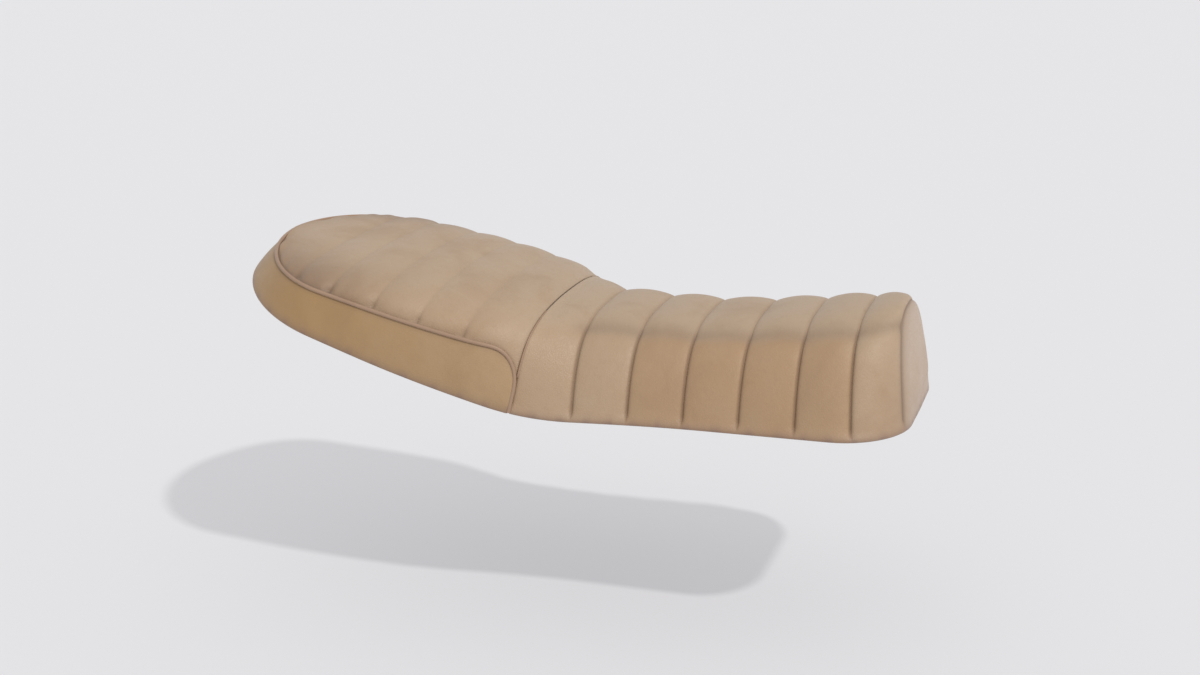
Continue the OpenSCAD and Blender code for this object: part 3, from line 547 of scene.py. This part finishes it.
# ---------------------------------------------------------------- pleated front cover
# Tan leather 1.8 mm thick, tuck-and-roll: a 52 mm roll over the bend, five of 46 mm and a
# shorter one at the nose. The formulas below give the rolls their shape; a cloth simulation
# held at the grooves then moves them by 0.6 mm at most.
def inflate(piece, held, pressure, cap):
    """Cloth with pressure and no gravity, held at some points; no point moves past cap."""
    count = len(piece.data.vertices)
    start = np.empty(count * 3)
    piece.data.vertices.foreach_get("co", start)
    pins = piece.vertex_groups.new(name="held")
    pins.add(np.flatnonzero(held.ravel()).tolist(), 1.0, "REPLACE")
    cloth = piece.modifiers.new("cloth", "CLOTH")
    cloth.settings.quality = 6
    cloth.settings.mass = 0.3
    cloth.settings.tension_stiffness = 30
    cloth.settings.compression_stiffness = 30
    cloth.settings.shear_stiffness = 8
    cloth.settings.bending_stiffness = 0.6
    cloth.settings.use_pressure = True
    cloth.settings.uniform_pressure_force = pressure
    cloth.settings.vertex_group_mass = "held"
    cloth.settings.effector_weights.gravity = 0.0
    cloth.collision_settings.use_self_collision = False
    for step in range(1, 21):
        scene.frame_set(step)
    moved = piece.evaluated_get(bpy.context.evaluated_depsgraph_get())
    end = np.empty(count * 3)
    moved.data.vertices.foreach_get("co", end)
    piece.modifiers.remove(cloth)
    piece.vertex_groups.clear()
    scene.frame_set(1)
    start = start.reshape(-1, 3)
    way = end.reshape(-1, 3) - start
    size = np.linalg.norm(way, axis=1, keepdims=True)
    way *= np.minimum(1, cap / np.maximum(size, 1e-9))
    piece.data.vertices.foreach_set("co", (start + way).ravel())
    piece.data.update()
    print(piece.name, "moved", round(float(size.mean()) * 1000, 2), "to",
          round(float(size.max()) * 1000, 2), "mm")


g, gin, gout = new_group("leather relief", [("Vector", "NodeSocketVector", None)],
                         [("Height", "NodeSocketFloat"), ("Cloud", "NodeSocketFloat"),
                          ("Speck", "NodeSocketFloat"), ("Pore", "NodeSocketFloat")])
v = gin.outputs[0]
pores = g.add("ShaderNodeTexVoronoi", {"Vector": v, "Scale": 620.0, "Randomness": 1.0},
              feature="DISTANCE_TO_EDGE")
pore = g.span(pores.outputs["Distance"], 0.0, 0.22)
wrinkle = g.noise(v, 120.0, 5.0, 0.62, 0.6)
creep = g.noise(v, 34.0, 3.0, 0.5, 0.9)
height = g.math("ADD", g.math("MULTIPLY", pore, 0.25),
                g.math("ADD", g.math("MULTIPLY", wrinkle, 0.9), g.math("MULTIPLY", creep, 1.6)))
feed(g, gout, {"Height": height, "Cloud": g.noise(v, 17.0, 4.0, 0.6, 0.5),
               "Speck": g.noise(v, 150.0, 4.0, 0.7), "Pore": pore})

g, gin, gout = new_group("leather tone", [
    ("Top", "NodeSocketColor", None), ("Side", "NodeSocketColor", None),
    ("Aged", "NodeSocketColor", None), ("Cloud", "NodeSocketFloat", 0.5),
    ("Speck", "NodeSocketFloat", 0.5)], [("Color", "NodeSocketColor"), ("Groove", "NodeSocketFloat")])
groove, side_shade_mask, low_edge_shade, pale, shaded = [
    g.add("ShaderNodeAttribute", attribute_name=label).outputs["Fac"]
    for label in ("groove", "side", "low", "pale", "shade")]
# The side mask swaps in the darker side tone: partly the leather's own golden hue, partly painted
# shade on the sides; pale lessens it roll by roll.
side_shade_share = g.math("MULTIPLY", side_shade_mask, g.math("SUBTRACT", 1.0, g.math("MULTIPLY", pale, 0.62)))
tone = g.mix(g.math("ADD", side_shade_share, g.span(gin.outputs["Cloud"], 0.25, 0.75, -0.25, 0.25), True),
             gin.outputs["Top"], gin.outputs["Side"])
tone = g.mix(g.span(gin.outputs["Cloud"], 0.5, 0.75, 0.0, 0.45), tone, gin.outputs["Aged"])
tone = g.mix(g.span(gin.outputs["Speck"], 0.52, 0.8, 0.0, 0.3), tone, gin.outputs["Aged"])
tone = g.mix(g.math("MULTIPLY", shaded, 0.75), tone, (0.235, 0.155, 0.105, 1))
# Painted shade along the rolled lower edge and its gathers.
tone = g.mix(g.math("MULTIPLY", low_edge_shade, 0.8), tone, (0.25, 0.155, 0.125, 1))
# Painted shade in the grooves and creases.
tone = g.mix(g.math("MULTIPLY", groove, 0.56), tone, (0.15, 0.09, 0.06, 1))
feed(g, gout, {"Color": tone, "Groove": groove})


def leather(name, top_tone, side_tone_with_shade, aged, rough=0.46, relief=1.0):
    """Satin leather: mottled tones, painted shade by masks on the sides, in the grooves and along the
    hem, fine pores and soft wrinkles.
    """
    made, g, shade, where = new_material(name)
    body = g.add("ShaderNodeGroup", {}, node_tree=bpy.data.node_groups["leather relief"])
    g.tree.links.new(where, body.inputs["Vector"])
    hue = g.add("ShaderNodeGroup", {}, node_tree=bpy.data.node_groups["leather tone"])
    feed(g, hue, {"Top": (*top_tone, 1), "Side": (*side_tone_with_shade, 1), "Aged": (*aged, 1),
                  "Cloud": body.outputs["Cloud"], "Speck": body.outputs["Speck"]})
    worn = g.math("ADD", g.span(body.outputs["Cloud"], 0.25, 0.75, rough - 0.07, rough + 0.08),
                  g.math("MULTIPLY", hue.outputs["Groove"], 0.2))
    feed(g, shade, {
        "Base Color": hue.outputs["Color"],
        "Roughness": worn,
        "Specular IOR Level": 0.42,
        "Sheen Weight": 0.06,
        "Normal": g.add("ShaderNodeBump", {"Height": body.outputs["Height"], "Strength": 0.55,
                                           "Distance": 0.0007 * relief}).outputs[0]})
    return made


# The side tone is darker than the top: partly the leather's own hue, partly painted shade.
tan_leather = leather("tan leather", (0.472, 0.343, 0.228), (0.428, 0.270, 0.148),
                      (0.37, 0.245, 0.155))


def hem_shade_marks(run, z):
    """Low mask: painted shade along the rolled lower edge, with short darker marks of painted shade
    where the hem is gathered.
    """
    beat = np.cos(run / 3.6 + 1.3 * np.sin(run / 29.0))
    return np.exp(-((z + 1) / 5.5) ** 2) * (0.62 + 0.38 * smooth((beat - 0.4) / 0.5))


s = roll_rows(front_marks, 18)
s[0] += 0.1
s[-1] -= 0.1
flat, way = arches(s, -1.0, 0.0, 104, curl=hem_curl)
share, gap = between(s)
z = flat[..., 2]
rise = z / z.max(1, keepdims=True)
fade = hem_fade(z)
band = np.exp(-((rise - 0.885) / 0.05) ** 2) * smooth((s - 300) / 40)[:, None]
tint = np.array([0.90, 1.0, 0.35, 0.12, 0.10, 0.35, 1.2])
roll = np.clip(np.searchsorted(front_marks, s, side="right") - 1, 0, len(tint) - 1)
on_side = 0.3 + 0.7 * smooth((0.95 - rise) / 0.1)
# The groove mask paints shade in the grooves, less over the top; the shade mask paints shade in the
# shoulder band.
masks = {"groove": np.exp(-(gap / 1.2) ** 1.6)[:, None] * fade * on_side,
         "side": 1 - smooth((rise - 0.80) / 0.14), "low": hem_shade_marks(s[:, None], z),
         "pale": tint[roll][:, None] + 0 * z, "shade": 0.5 * band}
skin = place(*np.moveaxis(flat, -1, 0))
shape = ((tuck(s, smooth((rise - 0.7) / 0.25)) + 0.9 * np.sin(np.pi * share)[:, None]) * fade
         + 1.1 * band)
skin -= grid_normals(skin) * shape[..., None] / 1000
front = grid_object("front_cover_leather", skin,
                    np.stack([np.broadcast_to(s[:, None], way.shape), way], -1) / 1000, masks)
held = (gap[:, None] < 0.4) & np.ones(way.shape, bool)
held[:, :2] = held[:, -2:] = True
held[0] = held[-1] = True
inflate(front, held, 4.0, 0.0035)
shell(front, leather_t)
finish_soft(front, "pleated_front_cover", tan_leather)


# ---------------------------------------------------------------- pleated rear cover
# The same leather over the domed tail: a smooth panel at the tip, four rolls of
# 40 mm with shallow soft grooves, and a short crisp crease where each meets the piping.
s = np.concatenate([tail_rows(0.8, 65.0, 26)[:-1], roll_rows(rear_marks, 12)])
s[-1] -= 0.1
flat, way = arches(s, np.minimum(seam_h(s), pipe_h(s)), 0.0, 92)
share, gap = between(s)
edge = np.minimum(way, way[:, -1:] - way)
plain = 1 - smooth((s - 245) / 30)[:, None]
pinch = np.exp(-(edge / 11.0) ** 1.6) * plain
tip = np.exp(-((s[:, None] - 75) / 62) ** 2)
# The groove mask paints shade in the grooves: faint along the rolls, strong in the short creases by
# the piping; the shade mask paints shade beside the piping and near the tail tip.
dark = 0.06 + 0.94 * np.maximum(pinch, 0.5 - 0.5 * plain)
masks = {"groove": np.exp(-(gap / 1.2) ** 1.6)[:, None] * dark,
         "side": 0.25 + 0.6 * np.exp(-(edge / 26) ** 2), "low": 0 * way,
         "pale": 0.35 + 0.5 * smooth((s - 90) / 150)[:, None] + 0 * way,
         "shade": 0.95 * tip * np.exp(-(edge / 44) ** 2) + 0.55 * np.exp(-(edge / 3) ** 2)}
pucker = (np.sin(s * 0.42 + 1.6 * np.sin(s * 0.11))[:, None]
          * np.exp(-(edge / 15) ** 2) * (1 - smooth((s - 110) / 80))[:, None])
skin = place(*np.moveaxis(flat, -1, 0))
shape = (tuck(s, 1.0, pinch) * (1 + 0.5 * pinch) + 0.5 * (np.sin(np.pi * share) * (s > 65))[:, None]
         - 1.1 * pucker)
sewn = smooth(edge / 5.5) * plain + 1 - plain
shape = shape * sewn + 1.1 * (1 - sewn)
skin -= grid_normals(skin) * shape[..., None] / 1000
rear = grid_object("rear_cover_leather", skin,
                   np.stack([np.broadcast_to(s[:, None], way.shape), way], -1) / 1000, masks)
held = (gap[:, None] < 0.4) & np.ones(way.shape, bool)
held[:, :2] = held[:, -2:] = True
held[:2] = held[-1] = True
inflate(rear, held, 3.0, 0.0022)
shell(rear, leather_t)
finish_soft(rear, "pleated_rear_cover", tan_leather)


# ---------------------------------------------------------------- tail skirt
# A smooth golden-tan leather strip round the tail, below the piping, 1.8 mm thick and
# turned under at the hem. It bulges a little over its foam.
skirt_leather = leather("skirt leather", (0.475, 0.325, 0.192), (0.402, 0.242, 0.102),
                        (0.37, 0.235, 0.130), rough=0.47, relief=0.8)
s, side = skirt_walk(64, 60, cross_x - 0.6)
share = np.linspace(0, 1, 20)[None] ** 1.15
high = seam_h(s)[:, None] - 0.5
z = -1.0 + (high + 1.0) * share
flat = flank(s[:, None], z, 0.0, side[:, None])
under = 0.8 * hem_curl * (1 - np.sqrt(1 - (1 - np.clip((z + 1) / hem_curl, 0, 1)) ** 2))
skin = place(*np.moveaxis(flat, -1, 0))
bulge = 1.5 * np.sin(np.pi * np.clip(share, 0, 1)) ** 0.7 - 0.4 - under
skin -= grid_normals(skin) * bulge[..., None] / 1000
run = np.cumsum(np.r_[0, np.linalg.norm(np.diff(flat[:, 0], axis=0), axis=1)])[:, None]
# Masks: the groove mask paints shade in a thin line under the piping, the shade mask paints shade at
# the tail tip, and the pale mask lifts the tone towards the greyer top tone, a painted sheen where
# the skirt turns round the tip, lighter again towards the seam.
masks = {"groove": np.exp(-((high - z) / 2.2) ** 1.5) * 0.9, "side": np.ones(z.shape),
         "low": hem_shade_marks(run, z), "shade": 0.35 * np.exp(-(s / 14) ** 2)[:, None] + 0 * z,
         "pale": np.interp(s, [0, 25, 60, 120, 180, 250], [0.8, 0.4, 0.0, 0.3, 0.55, 1.0])[:, None]
         + 0 * z}
skirt = grid_object("skirt_leather_strip", skin[:, ::-1],
                    masks={label: values[:, ::-1] for label, values in masks.items()})
shell(skirt, leather_t)
finish_soft(skirt, "tail_skirt", skirt_leather)


# ---------------------------------------------------------------- nose panel
# Smooth leather over the leaning nose face and its return, sewn to the last roll.
flat, s = nose_grid(0.0, -1.0, 104, 15, 26, curl=hem_curl)
skin, reach = nose_skin(flat, s)
z = flat[..., 2]
# The groove and shade masks paint shade along the seam to the last roll.
masks = {"groove": np.exp(-(reach / 1.6) ** 1.5) * hem_fade(z), "side": 0.2 + 0 * z,
         "low": hem_shade_marks(reach + 3, z), "shade": 0.3 * np.exp(-(reach / 7) ** 2)}
nose = grid_object("nose_leather_panel", skin, masks=masks, merge=2e-4)
shell(nose, leather_t)
nose_leather = leather("nose leather", (0.52, 0.40, 0.305), (0.50, 0.36, 0.25), (0.44, 0.32, 0.23))
finish_soft(nose, "nose_panel", nose_leather)


# ---------------------------------------------------------------- tail piping
# A round welt in darker brown-pink leather along the skirt's top, turned down to the hem
# at both ends of the cross seam. It is 3.8 mm thick and sinks in to show as 3.4 mm.
def tube(name, path, radius, sides):
    """A round tube along a path of points, closed at both ends by drawing them in."""
    along = np.gradient(path, axis=0)
    along /= np.linalg.norm(along, axis=1, keepdims=True)
    across = np.cross(along, np.array([0.05, 0.0, 1.0]))
    across /= np.linalg.norm(across, axis=1, keepdims=True)
    up = np.cross(across, along)
    turn = np.linspace(0, 2 * np.pi, sides, endpoint=False)
    ring = np.cos(turn)[None, :, None] * across[:, None] + np.sin(turn)[None, :, None] * up[:, None]
    size = np.broadcast_to(radius, len(path))[:, None, None]
    body = path[:, None] + ring * size
    first = path[:1, None] + ring[:1] * size[:1] * 1e-3
    last = path[-1:, None] + ring[-1:] * size[-1:] * 1e-3
    return grid_object(name, np.concatenate([first, body, last], 0), loop=True, merge=5e-5)


turn = np.linspace(np.pi / 2, 0, 14)
arc_s = cross_x - pipe_turn + pipe_turn * np.sin(turn)
arc_h = seam_h(arc_s)
down_h = np.linspace(0.8, arc_h[0], 12)[:-1]
along_s = np.concatenate([np.linspace(cross_x - pipe_turn, tail_round, 50)[1:-1],
                          tail_round * (1 - np.sin(np.linspace(0, np.pi / 2, 50)))])
half = np.concatenate([flank(np.full(11, cross_x), down_h, 0.3, -1), flank(arc_s, arc_h, 0.3, -1),
                       flank(along_s, pipe_h(along_s), 0.3, -1)])
half = half[half[:, 1] < -1.0]
path = place(*np.moveaxis(np.concatenate([half, half[::-1] * [1, -1, 1]]), -1, 0))
run = np.r_[0, np.cumsum(np.linalg.norm(np.diff(path, axis=0), axis=1))]
path = np.stack([np.interp(np.linspace(0, run[-1], 420), run, path[:, c]) for c in range(3)], -1)
for _ in range(8):
    path[1:-1] = (path[:-2] + 2 * path[1:-1] + path[2:]) / 4
piping = tube("piping_welt", path, 0.0017, 12)
round_off = piping.modifiers.new("smooth", "SUBSURF")
round_off.levels = round_off.render_levels = 1
piping_leather = leather("piping leather", (0.385, 0.25, 0.165), (0.385, 0.25, 0.165),
                         (0.31, 0.195, 0.125), rough=0.44, relief=0.5)
finish_soft(piping, "tail_piping", piping_leather)


# ---------------------------------------------------------------- cross seam welt
# Where the piping turns down, a thin bare welt runs on up the cross seam on each side
# and thins out in the groove after about 70 mm.
lines = arches([cross_x], pipe_h(cross_x) - pipe_turn + 8, 2.6, 120)[0][0]
for name, line in (("seam_welt_right", lines[:34]), ("seam_welt_left", lines[::-1][:34])):
    welt = tube(name, place(*np.moveaxis(line, -1, 0)), 0.0011 * np.linspace(1, 0.35, len(line)), 8)
    welt.data.materials.append(piping_leather)
    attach(welt, "saddle")


# ---------------------------------------------------------------- hem band
# The leather turned in under the rim, 12 mm wide and stapled, with small gathers.
def rim(s, d, side):
    """A point of the outline inset by d, on the base."""
    return np.stack(np.broadcast_arrays(plan_x(s, d, d), side * plan_w(s, d), 0 * s + 0 * d), -1)


half = np.concatenate([tail_round * (1 - np.cos(np.linspace(0, np.pi / 2, 50)))[:-1],
                       np.linspace(tail_round, seat_len - nose_corner, 150)[:-1],
                       seat_len - nose_corner + nose_corner * np.sin(np.linspace(0, np.pi / 2, 24))])
s = np.concatenate([half, half[::-1][:-1]])
side = np.where(np.arange(len(s)) < len(half), -1.0, 1.0)
inset = np.array([2.8, 5.0, 8.0, 11.0, 14.0, 17.0, 18.6])[None]
flat = rim(s[:, None], inset, side[:, None])
run = np.cumsum(np.r_[0, np.linalg.norm(np.diff(flat[:, 0], axis=0), axis=1)])
gather = (np.sin(run * 0.71 + 2.0 * np.sin(run * 0.083)) * np.sin(run * 0.29 + 1.0))[:, None]
flat[..., 2] = 0.35 + 0.3 * gather * smooth((inset - 3) / 8)
band_grid = place(*np.moveaxis(flat, -1, 0))
band_low = np.swapaxes(band_grid, 0, 1)
# The low mask paints shade over the whole band, which lies under the rim.
band = grid_object("hem_leather", band_low, loop=True, masks={
    "low": np.full(band_low.shape[:2], 0.6), "side": np.ones(band_low.shape[:2])})
shell(band, 1.3)
finish_soft(band, "hem_band", skirt_leather)


# ---------------------------------------------------------------- staples and fasteners
# Zinc-plated wire staples, screws, nuts, pin and latch rod: pale grey with a faint
# yellow and blue cast and fine drawing marks. The frame's solids are kept.
zinc, g, shade, where = new_material("zinc plate")
stretch = g.add("ShaderNodeMapping", {"Vector": where, "Scale": (60.0, 900.0, 900.0)}).outputs[0]
marks = g.noise(stretch, 1.0, 3.0, 0.6)
cloud = g.noise(where, 60.0, 3.0)
feed(g, shade, {
    "Base Color": g.mix(g.span(cloud, 0.3, 0.7), (0.60, 0.60, 0.58, 1), (0.50, 0.52, 0.56, 1)),
    "Metallic": 1.0,
    "Roughness": g.span(marks, 0.3, 0.7, 0.28, 0.46),
    "Normal": g.add("ShaderNodeBump", {"Height": marks, "Strength": 0.2,
                                       "Distance": 0.0001}).outputs[0]})
for node in ("hem_staples", "rest_screws", "rest_nuts", "hinge_backing_plate", "hinge_bolts",
             "hinge_nuts", "hinge_pin", "hinge_washer", "hinge_clip", "latch_loop",
             "latch_lock_nuts", "latch_backing_plate", "latch_nuts"):
    dress(node, zinc)


# ---------------------------------------------------------------- rubber rests
# Four matt black stepped rubber buffers, 18 mm across at the foot.
rubber, g, shade, where = new_material("rubber")
dust = g.noise(where, 90.0, 5.0, 0.65)
feed(g, shade, {
    "Base Color": g.mix(g.span(dust, 0.45, 0.8), (0.014, 0.014, 0.015, 1), (0.045, 0.043, 0.04, 1)),
    "Roughness": g.span(dust, 0.3, 0.7, 0.7, 0.88),
    "Normal": g.add("ShaderNodeBump", {"Height": dust, "Strength": 0.3,
                                       "Distance": 0.0002}).outputs[0]})
for node in ("rest_rear_right", "rest_rear_left", "rest_front_right", "rest_front_left"):
    dress(node, rubber)


# ---------------------------------------------------------------- hinge leaves and plates
# Powder-coated 3 mm steel, satin black with a light orange-peel surface.
black, g, shade, where = new_material("powder coat")
peel = g.noise(where, 420.0, 2.0, 0.5)
rub = g.noise(where, 45.0, 4.0, 0.6)
feed(g, shade, {
    "Base Color": g.mix(g.span(rub, 0.5, 0.8), (0.02, 0.02, 0.021, 1), (0.05, 0.049, 0.048, 1)),
    "Roughness": g.span(rub, 0.3, 0.7, 0.36, 0.5),
    "Normal": g.add("ShaderNodeBump", {"Height": peel, "Strength": 0.35,
                                       "Distance": 0.0002}).outputs[0]})
for node in ("hinge_seat_leaf", "hinge_frame_leaf", "latch_plate"):
    dress(node, black)


# ---------------------------------------------------------------- hinge bushes
# Two flanged sintered-bronze bushes, dull gold with dark pores.
bronze, g, shade, where = new_material("bronze")
pit = g.noise(where, 500.0, 3.0, 0.6)
feed(g, shade, {
    "Base Color": g.mix(g.span(pit, 0.35, 0.7), (0.42, 0.27, 0.12, 1), (0.62, 0.43, 0.20, 1)),
    "Metallic": 1.0,
    "Roughness": g.span(pit, 0.3, 0.7, 0.34, 0.5)})
for node in ("hinge_bush_right", "hinge_bush_left"):
    dress(node, bronze)
